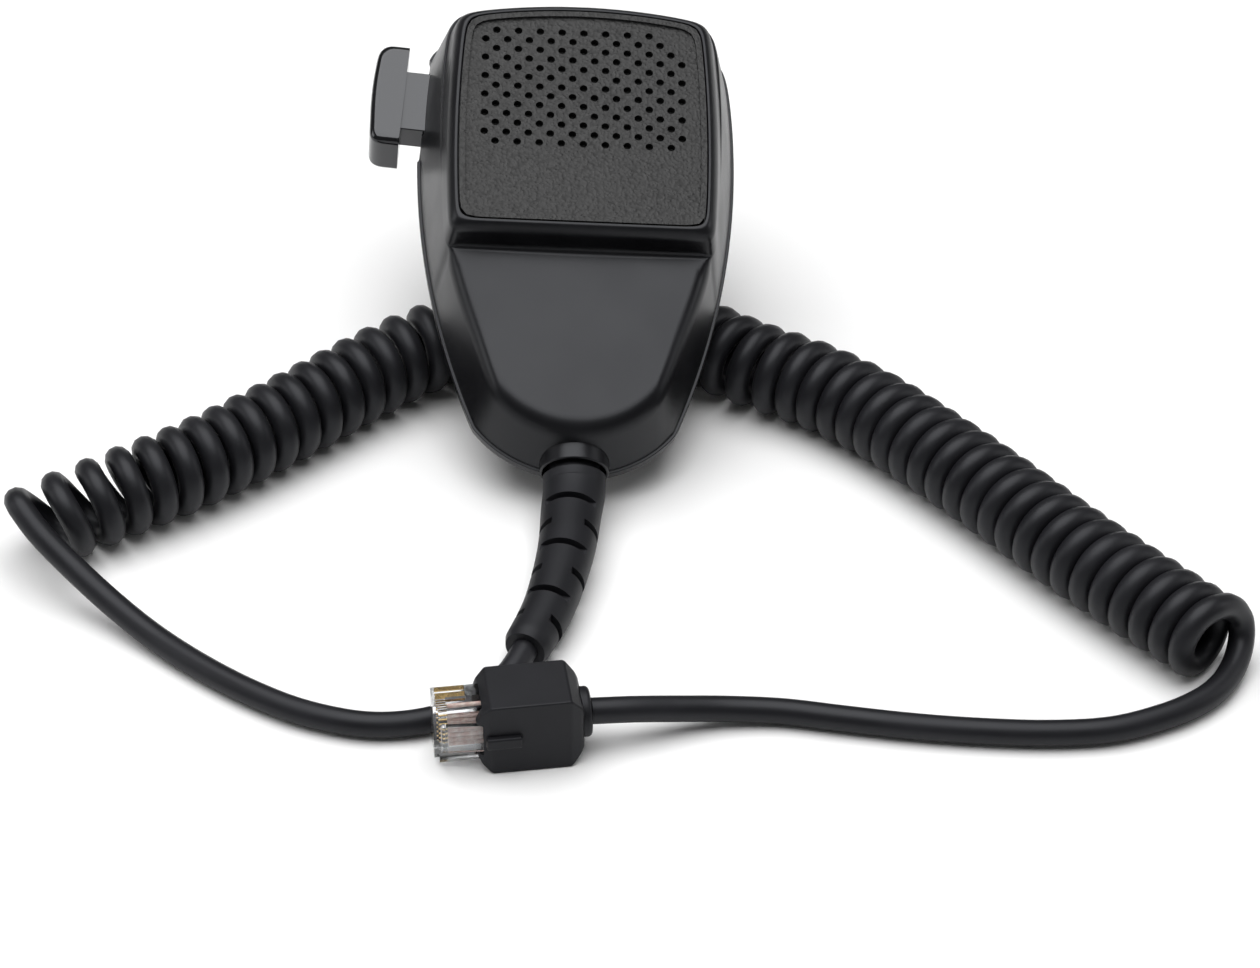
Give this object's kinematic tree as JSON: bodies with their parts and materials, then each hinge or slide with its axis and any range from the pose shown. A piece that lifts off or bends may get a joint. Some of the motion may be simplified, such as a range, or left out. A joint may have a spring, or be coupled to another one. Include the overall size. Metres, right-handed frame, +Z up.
{
  "type": "hand microphone",
  "caption": "Black hand microphone with side push-to-talk bar, perforated grille, slotted strain relief, curled cord and clear modular plug",
  "frame": {"origin": "On the table under the middle of the microphone's own box, without its cord", "axes": "+X to the microphone's right as seen from the front, +Y from the cord end to the top of the microphone, +Z up from the table"},
  "size_m": [0.231, 0.1676, 0.0658],
  "materials": {
    "housing_black": "satin_moulded",
    "grille_grey": "fine_grained",
    "screen_cloth": "woven",
    "rubber_black": "matte",
    "capsule_metal": "brushed",
    "lead_gold": "plated",
    "board_green": "lacquered",
    "component_black": "moulded",
    "connector_cream": "moulded",
    "wire_red": "insulated",
    "cord_rubber": "satin",
    "screw_steel": "zinc_plated",
    "stud_steel": "polished",
    "button_black": "gloss",
    "inner_plastic": "moulded",
    "plunger_white": "moulded",
    "clear_plastic": "clear"
  },
  "bodies": {
    "microphone": {"front_housing": "housing_black", "rear_housing": "housing_black", "grille_panel": "grille_grey", "dust_screen": "screen_cloth", "capsule_holder": "rubber_black", "mic_capsule": "capsule_metal", "capsule_leads": "lead_gold", "circuit_board": "board_green", "board_components": "component_black", "cord_connector": "connector_cream", "cord_wires": "wire_red", "cord_jacket": "cord_rubber", "cord_clamp": "screw_steel", "clamp_screws": "screw_steel", "board_screws": "screw_steel", "housing_screws": "screw_steel", "hang_up_stud": "stud_steel", "stud_washer": "screw_steel", "ptt_guide": "inner_plastic", "ptt_spring": "screw_steel", "ptt_switch_body": "component_black", "strain_relief": "rubber_black", "lead_to_mic": "cord_rubber", "coil_left": "cord_rubber", "coil_middle": "cord_rubber", "coil_right": "cord_rubber", "lead_to_plug": "cord_rubber", "plug_boot": "rubber_black", "boot_collar": "rubber_black", "plug_body": "clear_plastic", "plug_contacts": "lead_gold", "plug_wires": "wire_red", "plug_wire_guide": "clear_plastic"},
    "push_button": {"ptt_button": "button_black"},
    "switch_plunger": {"ptt_switch_plunger": "plunger_white"},
    "release_latch": {"plug_latch": "clear_plastic"}
  },
  "joints": [
    {"name": "push_to_talk", "type": "slide", "parent": "microphone", "child": "push_button", "axis": [0.9938, -0.0399, -0.1034], "range_m": [0, 0.003], "stiffness_N_per_m": 400, "springref_m": -0.004, "deforming": ["ptt_spring"]},
    {"name": "switch_travel", "type": "slide", "parent": "microphone", "child": "switch_plunger", "axis": [0.9938, -0.0399, -0.1034], "range_m": [0, 0.003]},
    {"name": "latch_press", "type": "hinge", "parent": "microphone", "child": "release_latch", "pos_m": [-0.01701, -0.11798, 0.0075], "axis": [0, 0, 1], "range_deg": [0, 4], "stiffness_Nm_per_rad": 0.02, "springref_deg": -5.73}
  ],
  "couplings": [
    {"joint": "switch_travel", "follows": "push_to_talk", "ratio": 1}
  ]
}
